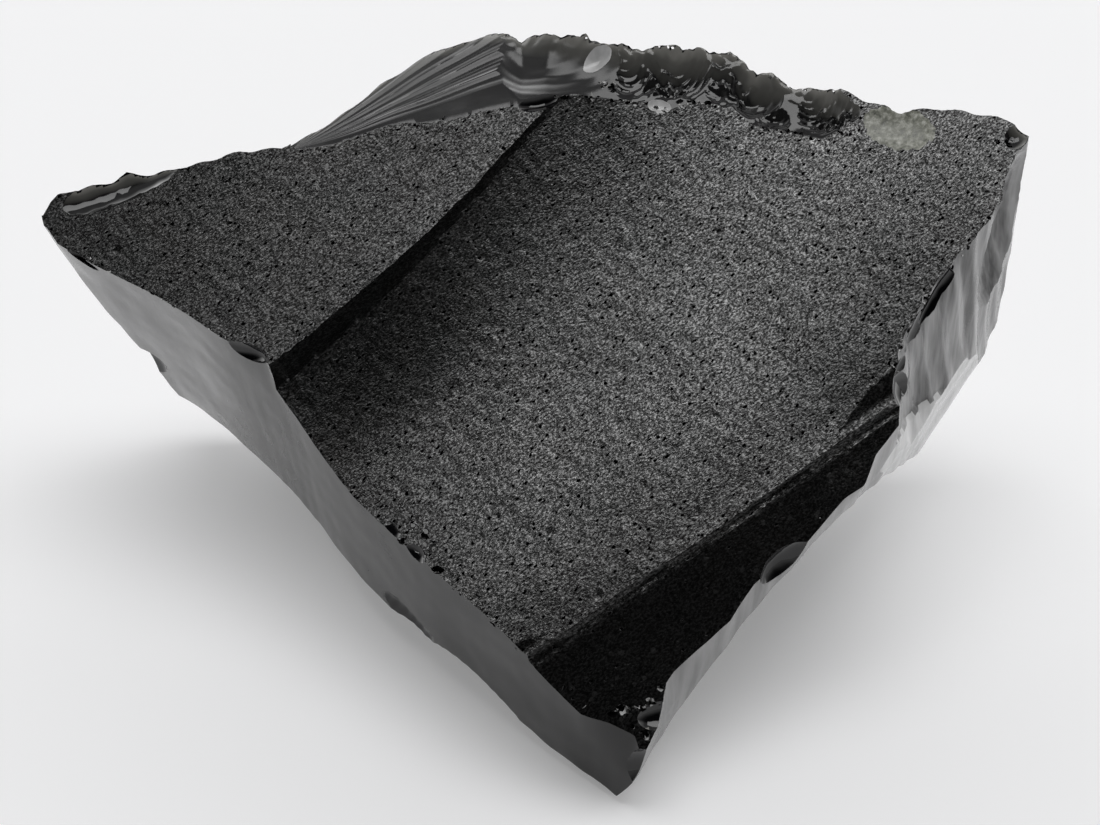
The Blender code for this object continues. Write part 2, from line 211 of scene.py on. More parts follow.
def new_group(name, inputs, outputs):
    """A node group. Inputs are its floats with their values, besides the place on the stone, and
    outputs are its colour and its floats."""
    made = bpy.data.node_groups.new(name, "ShaderNodeTree")
    made.interface.new_socket("Position", in_out="INPUT", socket_type="NodeSocketVector")
    for label, value in inputs.items():
        kind = "NodeSocketColor" if isinstance(value, tuple) else "NodeSocketFloat"
        made.interface.new_socket(label, in_out="INPUT", socket_type=kind).default_value = value
    made.interface.new_socket("Colour", in_out="OUTPUT", socket_type="NodeSocketColor")
    for label in outputs:
        made.interface.new_socket(label, in_out="OUTPUT", socket_type="NodeSocketFloat")
    return made, made.nodes.new("NodeGroupInput").outputs, made.nodes.new("NodeGroupOutput").inputs


def new_material(name):
    """A material, its node tree, its shader and the place on the stone."""
    made = bpy.data.materials.new(name)
    made.use_nodes = True
    tree = made.node_tree
    place = tree.nodes.new("ShaderNodeTexCoord").outputs["Object"]
    return made, tree, tree.nodes["Principled BSDF"], place


# The grain of the skin: fine drawn-out grains, open burst bubbles between them and a few glints.
# The glass is black, so what shows is the sheen of its grains and not a colour in them. The sheen
# is the share of light that they mirror, which is what a shader's colour is where Metallic is one.
GRAIN_TURN = (0.4, 0.0, math.radians(42.0))
GRAIN_STRETCH = (1.8, 1.0, 1.0)
RAGGED_RIMS = 0.3  # how far the grains break the round rims of the bubbles
MIRRORED_SHARE = 0.08  # of the light, where the sheen is one
tree, given, result = new_group(
    "stone_grain", {"Closed Holes": 0.5, "Glints": 0.25, "Wear": 1.0, "Shine": 1.0},
    ("Roughness", "Height"),
)
place = given["Position"]
drawn_out = mapping(tree, place, (0.0, 0.0, 0.0), GRAIN_TURN, GRAIN_STRETCH)
grain = node(tree, "ShaderNodeTexNoise", Vector=drawn_out, Scale=5000.0, Detail=2.0, Roughness=0.75)
grain = grain.outputs["Fac"]
holes = node(tree, "ShaderNodeTexVoronoi", Vector=drawn_out, Scale=1500.0, Randomness=1.0)
to_rim = math_node(tree, "ADD", holes.outputs["Distance"], math_node(tree, "MULTIPLY", grain, RAGGED_RIMS))
hole = ramp(tree, to_rim, (0.32, 0.0), (0.39, 1.0))
which = node(tree, "ShaderNodeSeparateColor", Color=holes.outputs["Color"])
closed_over = math_node(tree, "LESS_THAN", which.outputs["Red"], given["Closed Holes"])
open_hole = math_node(tree, "MAXIMUM", hole, closed_over)
cloud = node(tree, "ShaderNodeTexNoise", Vector=place, Scale=150.0, Detail=3.0)
tint = ramp(
    tree, cloud.outputs["Color"], (0.35, (0.0026, 0.0031, 0.0031)), (0.5, (0.0036, 0.0036, 0.0034)),
    (0.65, (0.0041, 0.0036, 0.0033)),
)
fleck = node(tree, "ShaderNodeTexVoronoi", Vector=place, Scale=2300.0, Randomness=1.0)
glint = ramp(tree, fleck.outputs["Color"], (0.86, 0.0), (0.9, 1.0))
glint = math_node(tree, "MULTIPLY", glint, given["Glints"])
sheen = math_node(tree, "ADD", ramp(tree, grain, (0.36, 0.04), (0.5, 0.42), (0.64, 1.4)), glint)

# The sheen carries painted light: a painted highlight along the trough's middle and to the right,
# and painted shade towards the thin left tip and at the foot of the step.
middle = rounded_patch(tree, place, (0.009, 0.010, 0.032), 55.0, (0.042, 0.026, 0.060))
foot = rounded_patch(tree, place, (-0.0165, 0.0040, 0.030), 42.0, (0.020, 0.0085, 0.060))
across = node(tree, "ShaderNodeSeparateXYZ", Vector=place).outputs["X"]
painted_light_gain = remap(tree, middle, (0.0, 0.8), (1.0, 1.75))
for value, from_range, to_range in (
    (across, (-0.050, -0.018), (0.55, 1.0)), (across, (0.005, 0.035), (1.05, 1.5)),
    (foot, (0.2, 0.75), (1.0, 0.55)),
):
    painted_light_gain = math_node(tree, "MULTIPLY", painted_light_gain, remap(tree, value, from_range, to_range))
# The share of this painted highlight and shade that a skin takes.
painted_light_gain = math_node(tree, "MULTIPLY", math_node(tree, "SUBTRACT", painted_light_gain, 1.0), given["Wear"])
painted_light_gain = math_node(tree, "MULTIPLY", math_node(tree, "ADD", painted_light_gain, 1.0), given["Shine"])
mirrored = math_node(tree, "MULTIPLY", math_node(tree, "MULTIPLY", sheen, painted_light_gain), MIRRORED_SHARE)
colour = blended(tree, "MULTIPLY", 1.0, blended(tree, "ADD", 1.0, tint, mirrored), open_hole)
tree.links.new(colour, result["Colour"])
tree.links.new(ramp(tree, grain, (0.35, 0.40), (0.75, 0.27)), result["Roughness"])
tree.links.new(math_node(tree, "MULTIPLY", grain, open_hole), result["Height"])


# The fourth number says how much of the painted highlight and shade the skin takes.
def skin_material(name, closed_holes, glints, painted_light_share, shine, relief):
    made, tree, shader, place = new_material(name)
    grains = placed_group(
        tree, "stone_grain", Position=place, Closed_Holes=closed_holes, Glints=glints, Wear=painted_light_share, Shine=shine,
    ).outputs
    bump = node(tree, "ShaderNodeBump", Strength=1.0, Distance=relief, Height=grains["Height"])
    fill(shader, {
        "Base Color": grains["Colour"], "Metallic": 1.0, "Roughness": grains["Roughness"],
        "Normal": bump.outputs["Normal"],
    })
    return made


skin = skin_material("grainy_pitted_skin", 0.4, 0.3, 1.0, 1.0, 0.00007)
# The bevel's sheen is turned down: painted shade, on a finer grain.
bevel_skin = skin_material("fine_grained_skin", 0.9, 0.9, 0.0, 0.6, 0.00005)
# A darker copy of the skin for the step's face and a strip past its foot: painted shade.
scarp_skin = skin_material("shaded_skin", 0.7, 0.3, 0.0, 0.25, 0.00007)

STEP_FOOT = (-27.6, 3.3, 28.8)
STEP_HEAD = (-0.5, 26.3, 42.6)
LEFT_TIP = (-51.4, 18.2, 33.6)
TOP_POINTS = (STEP_FOOT, STEP_HEAD, LEFT_TIP)
SKIN_CELL = 0.3
PITS_PER_MM2 = 0.012
LEAST_PIT = 0.2


def scatter_pits(seed, x_range, y_range):
    """Burst bubbles, sorted into squares of one millimetre: each is (x, y, radius, depth)."""
    source = random.Random(seed)
    squares = {}
    for _ in range(round((x_range[1] - x_range[0]) * (y_range[1] - y_range[0]) * PITS_PER_MM2)):
        x, y = source.uniform(*x_range), source.uniform(*y_range)
        radius = LEAST_PIT + 0.2 * source.random() ** 3
        pit = (x, y, radius, radius * source.uniform(0.7, 1.1))
        for i in range(math.floor(x - radius), math.floor(x + radius) + 1):
            for j in range(math.floor(y - radius), math.floor(y + radius) + 1):
                squares.setdefault((i, j), []).append(pit)
    return squares


def pitted(pits, x, y):
    sunk = 0.0
    for pit_x, pit_y, radius, depth in pits.get((math.floor(x), math.floor(y)), ()):
        away = math.hypot(x - pit_x, y - pit_y) / radius
        if away < 1.0:
            sunk = max(sunk, depth * (1.0 - away * away))
    return -sunk


def grainy(x, y, seed):
    """Low lumps of the skin's grain, in two sizes."""
    return 0.05 * swell(x, y, 1.3, seed) + 0.05 * swell(x, y, 0.5, seed + 3.0)


# The raised plate, nearly flat.
plate_pits = scatter_pits(11, (-40.0, 60.0), (-4.0, 50.0))


def plate_face(x, y):
    return 0.25 * swell(x, y, 16.0, 1.0) + grainy(x, y, 20.0) + pitted(plate_pits, x, y)


facet(
    "plate", TOP_POINTS, lines(-60.0, -16.0, 42.0, 90.0, SKIN_CELL),
    lines(-50.0, -1.0, 28.0, 60.0, SKIN_CELL), plate_face, skin,
)

# The trough. The step's face is a steep scarp that dies out towards the back, and from its foot
# the floor dips and then climbs to the far side. x runs along the step.
trough_pits = scatter_pits(12, (-20.0, 90.0), (-60.0, 2.0))
STEP_LENGTH, STEP_BOW = 38.0, 1.1
SCARP_HEIGHTS, SCARP_REACH = (2.5, 0.4), 45.0
SCARP_SLOPE = 2.2
FAR_DEPTHS, DIPS = (3.1, 0.8), (2.3, 1.8)
TROUGH_WIDTH, TROUGH_SPREAD = 37.5, 0.15
DIP_SHAPE = 6.75  # brings the greatest value of t (1 - t) ** 2 to one
SHADE_PAST_FOOT = 0.3


def scarp_line(x):
    crest = -STEP_BOW * math.sin(math.pi * min(max(x / STEP_LENGTH, 0.0), 1.0))
    return crest + 0.22 * swell(x, 0.0, 3.2, 8.0) + 0.10 * swell(x, 0.0, 0.9, 9.0)


def trough_face(x, y):
    scarp = fade(SCARP_HEIGHTS, x, 0.0, SCARP_REACH)
    far = fade(FAR_DEPTHS, x, 34.0, 64.0)
    dip = fade(DIPS, x, 10.0, 60.0)
    across = scarp_line(x) - y
    on_scarp = across * SCARP_SLOPE
    if on_scarp < scarp:
        return -on_scarp + 0.12 * swell(x, y, 1.4, 31.0)
    t = min(across / (TROUGH_WIDTH + TROUGH_SPREAD * x), 1.0)
    floor = scarp + (far - scarp) * t + dip * DIP_SHAPE * t * (1.0 - t) ** 2
    return 0.2 * swell(x, across, 9.0, 2.0) * t - floor + grainy(x, y, 25.0) + pitted(trough_pits, x, y)


def in_shade(x, y):
    on_scarp = (scarp_line(x) - y) * SCARP_SLOPE
    return on_scarp < fade(SCARP_HEIGHTS, x, 0.0, SCARP_REACH) + SHADE_PAST_FOOT


facet(
    "trough", TOP_POINTS, lines(-60.0, -6.0, 68.0, 100.0, SKIN_CELL),
    lines(-80.0, -44.0, 3.0, 25.0, SKIN_CELL), trough_face, skin, (scarp_skin, in_shade),
)

# The bevel, slightly bowed. Two ridges run along its upper edge, the first above a small ledge.
BEVEL = ((-2.9, -21.4, 16.0), (33.9, 0.6, 30.8), (24.0, -13.9, 19.6))
BEVEL_LENGTH, BEVEL_BOW = 46.0, 0.45
LEDGE = 0.30
FIRST_RIDGE, SECOND_RIDGE = (-0.1, 0.34, 0.32), (1.2, 0.12, 0.22)


def ridge_line(x):
    return -1.9 - 0.02 * x + 0.25 * swell(x, 0.0, 7.0, 33.0)


def ridge(below, line):
    place, height, width = line
    return height * math.exp(-((below - place) / width) ** 2)


def bevel_face(x, y):
    bow = BEVEL_BOW * math.sin(math.pi * min(max((x + 4.0) / BEVEL_LENGTH, 0.0), 1.0))
    below = ridge_line(x) - y
    ledge = fade((0.0, LEDGE), below, 0.1, 0.7) - ridge(below, FIRST_RIDGE)
    ridged = bow - ledge + ridge(below, SECOND_RIDGE)
    return ridged + 0.3 * swell(x, y, 9.0, 3.0) + 0.03 * swell(x, y, 1.2, 40.0)


# Thin strips along the ridges keep the trough's brighter skin: painted highlight lines.
def on_ridge(x, y):
    below = ridge_line(x) - y + 0.25 * swell(x, y, 0.8, 41.0)
    return -0.45 < below < 0.12 or 1.05 < below < 1.3


facet(
    "bevel", BEVEL, lines(-60.0, -12.0, 52.0, 90.0, 0.45), lines(-60.0, -22.0, 6.0, 60.0, 0.3),
    bevel_face, bevel_skin, (skin, on_ridge),
)

# ---------------------------------------------------------------------------------------------
# The back edge is bare glass, black where it is thick and smoky where it thins out. A ribbed fan
# lies behind the plate. Beyond it, shell-shaped flakes were struck off along the edge, first one
# wide satin shell and then a row of small bright ones.
# ---------------------------------------------------------------------------------------------

# The glass, with faint flow in it.
tree, given, result = new_group("smoky_glass", {"Thickness": 1.0}, ("Film", "Height"))
smoke = ramp(
    tree, given["Thickness"], (0.0, (0.22, 0.215, 0.20)), (0.06, (0.085, 0.084, 0.078)),
    (0.2, (0.012, 0.012, 0.012)), (0.6, (0.003, 0.003, 0.0035)),
)
tree.links.new(smoke, result["Colour"])
film = node(tree, "ShaderNodeTexNoise", Vector=given["Position"], Scale=90.0, Detail=4.0)
tree.links.new(film.outputs["Fac"], result["Film"])
ripple = node(tree, "ShaderNodeTexNoise", Vector=given["Position"], Scale=420.0, Detail=2.0)
tree.links.new(ripple.outputs["Fac"], result["Height"])


def glass_material(name, smooth, dull, relief):
    made, tree, shader, place = new_material(name)
    thickness = tree.nodes.new("ShaderNodeAttribute")
    thickness.attribute_name = "thickness"
    smoky = placed_group(tree, "smoky_glass", Position=place, Thickness=thickness.outputs["Fac"]).outputs
    bump = node(tree, "ShaderNodeBump", Strength=relief, Distance=0.0001, Height=smoky["Height"])
    fill(shader, {
        "Base Color": smoky["Colour"], "Roughness": ramp(tree, smoky["Film"], (0.4, smooth), (0.7, dull)),
        "Normal": bump.outputs["Normal"],
    })
    return made


glass = glass_material("volcanic_glass", 0.04, 0.10, 0.35)
satin_glass = glass_material("satin_glass", 0.20, 0.34, 0.35)

# The fan's ribs spread from the left end and bend upwards a little. Its grid spreads with them:
# columns are degrees of turn, and rows run out along the ribs.
FAN = ((-26.4, 24.1, 38.9), (-2.9, 27.1, 42.7), (-5.1, 37.6, 44.0))
FAN_ROWS = 28.0
FAN_START, FAN_WIDTH, LONGEST_RIB = 0.3, 23.8, 33.0
FAN_END_SLANT = 0.13
RIB_BEND, BEND_REACH = 8.0, 8.0
RIB_PITCH, FINE_RIB_PITCH, FINE_RIBS = 6.0, 1.9, 0.16
RIB_RISE = 0.011


def fan_face(turn, row):
    end_turn = math.radians(max(turn, 0.0) + RIB_BEND)
    far = min(FAN_WIDTH / max(math.cos(end_turn) - FAN_END_SLANT * math.sin(end_turn), 0.1), LONGEST_RIB)
    reach = FAN_START + (far - FAN_START) * row / FAN_ROWS
    angle = math.radians(turn + RIB_BEND * (1.0 - math.exp(-reach / BEND_REACH)))
    x, y = reach * math.cos(angle), reach * math.sin(angle)
    wander = max(turn, 0.0) + 0.8 * swell(reach, turn, 6.0, 51.0)
    ribs = abs(math.sin(math.pi * wander / RIB_PITCH)) ** 0.8
    ribs += FINE_RIBS * abs(math.sin(math.pi * wander / FINE_RIB_PITCH))
    edge = min(max(turn, 0.0) / 4.0, 1.0)
    return Vector((x, y, 0.25 * swell(x, y, 7.0, 4.0) - RIB_RISE * ribs * reach * edge))


facet(
    "fan", FAN, lines(-14.0, -2.0, 46.0, 94.0, 0.4), lines(0.0, 0.1, FAN_ROWS - 0.1, FAN_ROWS, 0.35),
    fan_face, satin_glass,
)

# A station gives the way across, the front edge with its height, and the crest with its height.
BACK_EDGE = (
    (-3.1, 27.0, 42.7, 37.0, 43.4), (-0.3, 27.1, 43.0, 35.7, 44.9), (2.9, 28.1, 42.9, 34.6, 45.5),
    (5.1, 27.9, 42.5, 33.9, 45.6), (7.2, 27.8, 42.3, 33.6, 45.2), (9.7, 27.4, 42.0, 33.4, 45.1),
    (12.1, 26.9, 41.6, 33.2, 45.1), (14.3, 27.7, 42.1, 33.0, 45.0), (16.6, 27.4, 42.1, 32.9, 44.9),
    (18.9, 26.6, 41.8, 32.5, 44.6), (20.6, 25.2, 41.2, 31.0, 43.9), (22.9, 24.6, 41.1, 29.7, 43.7),
    (25.4, 23.9, 41.1, 28.8, 42.9), (27.6, 23.1, 41.1, 28.6, 43.1), (29.9, 24.0, 41.9, 27.3, 43.6),
    (31.3, 24.8, 42.5, 26.7, 43.8),
)
# Each shell: its middle, half sizes and depth, then where the blow fell, the ring spacing and height.
SATIN_SHELLS = ((1.0, 32.2, 8.6, 5.2, 1.0, (0.0, 37.5), 1.3, 0.05),)
BRIGHT_SHELLS = (
    (8.6, 30.0, 2.6, 3.8, 0.9, (7.6, 33.0), 0.75, 0.12),
    (13.4, 30.8, 4.0, 3.4, 1.2, (12.8, 33.2), 0.66, 0.18),
    (17.2, 28.2, 1.9, 2.4, 0.8, (17.6, 31.0), 0.60, 0.12),
    (21.2, 28.6, 3.3, 3.0, 1.5, (19.6, 31.6), 0.9, 0.08),
    (22.6, 25.6, 2.3, 1.7, 1.2, (23.0, 27.6), 0.50, 0.12),
    (28.2, 26.2, 3.4, 3.2, 1.3, (26.4, 28.4), 0.6, 0.20),
)
SHELLS_DEPTH = 70.0
LEAST_HOLLOW = 0.25
HACKLES = 1.8  # how rough the splintered glass between the bright shells is


def at_station(stations, s):
    """The values at a distance s, between those of the stations before and after it."""
    if s <= stations[0][0]:
        return stations[0][1:]
    for before, after in zip(stations, stations[1:]):
        if s <= after[0]:
            t = (s - before[0]) / (after[0] - before[0])
            return tuple(a + (b - a) * t for a, b in zip(before[1:], after[1:]))
    return stations[-1][1:]


def shelled(shells, rough, x, y):
    front, front_height, crest, crest_height = at_station(BACK_EDGE, x)
    t = (y - front) / (crest - front)
    height = front_height + (crest_height - front_height) * t
    if y < front:
        height = front_height + 0.5 * (front - y)
    height += 0.3 * swell(x, y, 0.8, 94.0) * min(max(4.0 * t - 3.0, 0.0), 1.0)
    sunk = LEAST_HOLLOW
    for middle_x, middle_y, half_x, half_y, depth, blow, spacing, rings in shells:
        off = ((x - middle_x) / half_x) ** 2 + ((y - middle_y) / half_y) ** 2
        from_blow = math.hypot(x - blow[0], y - blow[1]) + 0.35 * swell(x, y, 3.0, 92.0)
        ripple = rings * abs(math.sin(math.pi * from_blow / spacing))
        sunk = max(sunk, depth * (1.0 - off) - ripple)
    sunk += rough * max(swell(x, y, 4.0, 98.0) + 0.1, 0.0) * swell(x, y, 0.9, 99.0)
    return height - sunk * 4.0 * max(t, 0.0) * max(1.0 - t, 0.0)


def meeting(x, y):
    """How far right of the line where the two rows of shells meet."""
    return x - 1.6 * swell(0.0, y, 1.6, 97.0)


def satin_face(x, y):
    left_end, right_end = BACK_EDGE[0][0], 7.2
    rise = max(0.15 * (left_end - x), 0.8 * (meeting(x, y) - right_end), 0.0)
    return shelled(SATIN_SHELLS, 0.0, x, y) + rise


def bright_face(x, y):
    left_end, right_end = 6.6, BACK_EDGE[-1][0]
    rise = max(0.8 * (left_end - meeting(x, y)), x - right_end, 0.0)
    return shelled(BRIGHT_SHELLS, HACKLES, x, y) + rise


slab(
    "satin_shells", Vector(), X_AXIS, Z_AXIS, lines(-18.0, -12.0, 10.0, 16.0, 0.3, 1.0),
    lines(14.0, 22.0, 38.0, 44.0, 0.2, 1.0), satin_face, satin_glass, SHELLS_DEPTH,
)
slab(
    "bright_shells", Vector(), X_AXIS, Z_AXIS, lines(0.0, 4.0, 32.0, 36.0, 0.16, 1.0),
    lines(14.0, 22.0, 35.0, 44.0, 0.16, 1.0), bright_face, glass, SHELLS_DEPTH,
)

# ---------------------------------------------------------------------------------------------
# The four standing breaks are broad and nearly upright. The left, bevel and right ones carry a pale
# tone and drawn-out light and dark streaks in their colour, palest at the thin ends: painted
# reflection of the white floor, over smoky thin glass. The right break is fluted, and below a slanting
# line its outer shell is left, paler and a little proud. The back one shows the ripples of a single blow.
# ---------------------------------------------------------------------------------------------

STREAK_TURN, STREAK_STRETCH = (0.25, 0.0, 0.0), (1.0, 1.0, 0.12)
tree, given, result = new_group(
    "drawn_streaks", {"Colour": (0.1, 0.1, 0.1, 1.0), "Streaks": 0.5}, ("Roughness",),
)
upright = node(
    tree, "ShaderNodeMapping", Vector=given["Position"], Rotation=STREAK_TURN, Scale=STREAK_STRETCH,
).outputs["Vector"]
# Light and dark streaks in the colour: painted reflection streaks.
streak = node(tree, "ShaderNodeTexNoise", Vector=upright, Scale=520.0, Detail=3.0).outputs["Fac"]
veil = ramp(tree, streak, (0.35, 0.1), (0.65, 1.6))
tree.links.new(blended(tree, "MULTIPLY", given["Streaks"], given["Colour"], veil), result["Colour"])
tree.links.new(ramp(tree, streak, (0.4, 0.16), (0.7, 0.26)), result["Roughness"])


def wall_material(name, streaks, *stops):
    """Glass whose tone changes by its stops from the left end of the stone, at 0, to the right, at 1."""
    made, tree, shader, place = new_material(name)
    across = node(tree, "ShaderNodeSeparateXYZ", Vector=place).outputs["X"]
    tone = ramp(tree, remap(tree, across, (-0.052, 0.048), (0.0, 1.0)), *stops)
    drawn = placed_group(tree, "drawn_streaks", Position=place, Colour=tone, Streaks=streaks).outputs
    fill(shader, {"Base Color": drawn["Colour"], "Roughness": drawn["Roughness"]})
    return made


# Tones towards the thin ends: partly smoky thin glass, partly painted reflection of the floor.
left_glass = wall_material("left_wall_glass", 0.15, (0.0, 0.20), (0.2, 0.075), (0.38, 0.016), (0.6, 0.004))
bevel_glass = wall_material("bevel_wall_glass", 0.35, (0.6, 0.10), (0.7, 0.24), (1.0, 0.30))
streaked_glass = wall_material("streaked_glass", 0.95, (0.86, 0.16), (1.0, 0.22))
pale_glass = wall_material("pale_glass", 0.25, (0.8, 0.5), (1.0, 0.55))

# A station gives the distance along the break, how far out its upper edge lies, the height of that
# edge and the outward lean.
LEFT_EDGE = (
    (0.0, 0.0, 33.6, 0.25), (2.0, 0.5, 33.0, 0.28), (4.0, 0.3, 32.7, 0.31), (10.5, -0.6, 31.5, 0.33),
    (17.5, -1.8, 30.5, 0.25), (22.5, -2.2, 29.6, 0.20), (27.0, -3.1, 29.0, 0.15), (28.2, -2.8, 27.0, 0.14),
    (33.5, -1.8, 23.7, 0.10), (40.0, -0.8, 20.8, 0.06), (48.5, 0.3, 18.0, 0.06), (57.0, 1.0, 16.4, 0.07),
    (62.5, 1.5, 15.7, 0.07), (70.5, 1.5, 11.7, 0.05), (73.0, 0.1, 10.9, -0.08), (75.5, -0.8, 9.6, -0.15),
    (77.0, 0.0, 8.0, -0.15),
)
BEVEL_EDGE = (
    (0.0, 0.0, 8.0, 0.10), (2.8, -0.6, 9.9, 0.10), (5.5, -2.2, 12.6, 0.05), (6.7, -2.3, 13.3, 0.08),
    (9.6, -1.8, 14.4, 0.12), (13.5, -1.0, 15.8, 0.12), (17.0, -1.3, 18.0, 0.05), (20.0, -0.9, 19.1, 0.15),
    (22.0, -0.3, 19.6, 0.15), (28.4, 0.3, 22.6, 0.15), (30.6, 1.0, 23.2, 0.15), (33.2, 0.1, 25.2, 0.15),
    (36.3, 0.0, 26.9, 0.15),
)
RIGHT_EDGE = (
    (-1.1, 0.4, 28.1, -0.05), (1.4, -0.4, 29.4, -0.05), (3.6, -1.8, 30.7, -0.06), (4.9, -2.8, 31.5, -0.08),
    (8.3, -2.6, 33.4, -0.08), (10.9, -2.2, 34.8, -0.08), (14.2, -1.3, 36.7, -0.08), (17.0, -0.3, 38.0, -0.03),
    (22.1, 0.5, 40.4, 0.0), (25.6, -0.3, 42.2, 0.0), (27.7, 0.0, 43.1, 0.0),
)
CREST = (
    (-0.2, 0.3, 43.3, 0.02), (1.2, 2.3, 44.0, 0.02), (3.3, 3.2, 44.1, 0.04), (7.7, 4.4, 44.1, 0.10),
    (12.7, 5.2, 43.7, 0.18), (16.4, 6.7, 43.1, 0.26), (20.3, 8.7, 43.1, 0.34), (22.9, 8.9, 42.9, 0.38),
    (26.5, 10.4, 43.7, 0.42), (29.4, 12.8, 44.7, 0.42), (36.4, 13.2, 45.1, 0.42), (42.2, 13.7, 45.7, 0.42),
    (47.0, 15.0, 45.0, 0.42), (49.5, 16.4, 44.4, 0.42), (53.0, 17.6, 44.0, 0.42), (59.7, 16.1, 42.8, 0.38),
    (65.3, 12.5, 41.5, 0.28), (68.6, 9.0, 40.5, 0.18), (72.0, 6.3, 39.6, 0.10), (75.4, 4.3, 38.8, 0.06),
    (80.2, 4.2, 38.4, 0.05), (85.0, 3.3, 37.8, 0.04), (91.7, 3.4, 36.9, 0.02), (93.2, 2.6, 36.4, 0.0),
    (98.9, 1.2, 35.0, 0.0), (100.0, -0.6, 34.1, 0.0),
)
LEFT_ENDS, BEVEL_ENDS = ((-51.4, 18.2), (8.9, -29.8)), ((8.9, -29.8), (34.1, -3.7))
RIGHT_ENDS, BACK_ENDS = ((34.1, -3.7), (47.8, 20.4)), ((48.0, 20.0), (-52.0, 20.0))
NEAR = (-4.0, -2.0, 0.0, 2.0, 4.0)
EVEN_AFTER = 5.0
PALE_EDGE = ((-5.0, 24.0), (5.0, 21.7), (10.2, 20.8), (15.3, 19.6), (20.3, 16.5), (30.0, 10.0))
PALE_SHELL_PROUD = 0.35
FLUTE, FINE_FLUTE, FLUTE_SKEW = 3.1, 0.97, 0.25
BLOW_X, BLOW_Z, BLOW_RIPPLE = 50.0, 52.0, 3.6


def wall(name, ends, stations, cell, z_lines, relief, material, patch=None):
    """A standing break. Its face follows each bend of its edge near the top and evens out below."""
    start, end = (Vector((*point, 0.0)) for point in ends)
    along = end - start
    xs = lines(-10.0, -2.0, along.length + 2.0, along.length + 10.0, cell)
    exact = {x: at_station(stations, x) for x in xs}
    even = {}
    for x in xs:
        near = [at_station(stations, x + step) for step in NEAR]
        even[x] = tuple(sum(values) / len(values) for values in zip(*near))

    def face(x, z):
        below = min(max((exact[x][1] - z) / EVEN_AFTER, 0.0), 1.0)
        outset, height, lean = (a + (b - a) * below for a, b in zip(exact[x], even[x]))
        return outset + lean * (z - height) + relief(x, z)

    slab(name, start, along, along.cross(Z_AXIS), xs, z_lines, face, material, SLAB_DEPTH, patch)


def wavy(x, z):
    return 0.3 * swell(x, z, 9.0, 5.0) + 0.05 * swell(x, z, 2.2, 61.0)


def on_pale_shell(x, z):
    return z < at_station(PALE_EDGE, x)[0]


def fluted(x, z):
    skewed = x + FLUTE_SKEW * z + 0.5 * swell(x, z, 6.0, 71.0)
    flutes = 0.10 * math.sin(2.0 * math.pi * skewed / FLUTE)
    flutes += 0.03 * math.sin(2.0 * math.pi * skewed / FINE_FLUTE)
    proud = PALE_SHELL_PROUD if on_pale_shell(x, z) else 0.0
    return proud + flutes + 0.3 * swell(x, z, 7.0, 7.0)


def rippled(x, z):
    return 0.12 * math.sin(2.0 * math.pi * math.hypot(x - BLOW_X, z - BLOW_Z) / BLOW_RIPPLE) + wavy(x, z)


wall("left_wall", LEFT_ENDS, LEFT_EDGE, 0.5, lines(-8.0, 0.0, 34.0, 60.0, 0.5), wavy, left_glass)
wall("bevel_wall", BEVEL_ENDS, BEVEL_EDGE, 0.4, lines(-8.0, 0.0, 30.0, 60.0, 0.4), wavy, bevel_glass)
wall(
    "right_wall", RIGHT_ENDS, RIGHT_EDGE, 0.35, lines(-8.0, 8.0, 44.0, 60.0, 0.5), fluted, streaked_glass,
    (pale_glass, on_pale_shell),
)
wall("back_wall", BACK_ENDS, CREST, 0.7, lines(-8.0, 0.0, 46.0, 60.0, 0.7), rippled, satin_glass)

# ---------------------------------------------------------------------------------------------
# The undersides are broken off towards the narrow foot of the stone, with faint ripples in bare
# glass. One low facet at the right is pale like the shell above it, and a flat base stands on the
# floor.
# ---------------------------------------------------------------------------------------------

WHOLE = lines(-90.0, -45.0, 45.0, 90.0, 0.9)
UNDERSIDES = {
    "under_wing": ((-51.8, 19.3, 33.6), (-43.2, 19.9, 14.0), (-43.2, 30.0, 14.0)),
    "under_left": ((-41.0, 17.0, 9.0), (4.0, -29.0, 1.8), (-10.0, 2.0, 0.0)),
    "right_low": ((33.9, -4.8, 28.1), (46.0, 17.1, 16.0), (39.4, 9.7, 9.0)),
    "under_right": ((39.4, 9.7, 9.0), (46.0, 17.1, 16.0), (24.0, 8.0, 0.0)),
}
UNDER_BEVEL = ((7.7, -28.8, 2.5), (24.0, -12.7, 17.0), (14.0, -8.0, 0.0))
STRAIGHT_TO, CURL = 29.0, 0.036
UNDER_RIPPLE = 4.2


def under_face(x, y):
    ripples = 0.08 * math.sin(2.0 * math.pi * math.hypot(x + 30.0, y - 30.0) / UNDER_RIPPLE)
    return 0.6 * swell(x, y, 13.0, 6.0) + ripples + 0.1 * swell(x, y, 3.0, 81.0)


def under_bevel_face(x, y):
    """The underside of the bevel, which curls outwards at its upper right end."""
    return CURL * max(x - STRAIGHT_TO, 0.0) ** 2 + under_face(x, y)


for name, points in UNDERSIDES.items():
    material = pale_glass if name == "right_low" else glass
    facet(name, points, lines(-90.0, -20.0, 70.0, 90.0, 0.9), WHOLE, under_face, material)
facet(
    "under_bevel", UNDER_BEVEL, lines(-80.0, -6.0, 56.0, 60.0, 0.7), lines(-80.0, -40.0, 40.0, 80.0, 0.9),
    under_bevel_face, glass,
)

# ---------------------------------------------------------------------------------------------
# Smaller flakes have left shell-shaped scars along the edges and on the breaks. Most are plain
# black glass. A thin flake that lifts at the back right is pale and sugary. Two small facets that
# face the light are pale glass: a painted highlight.
# ---------------------------------------------------------------------------------------------

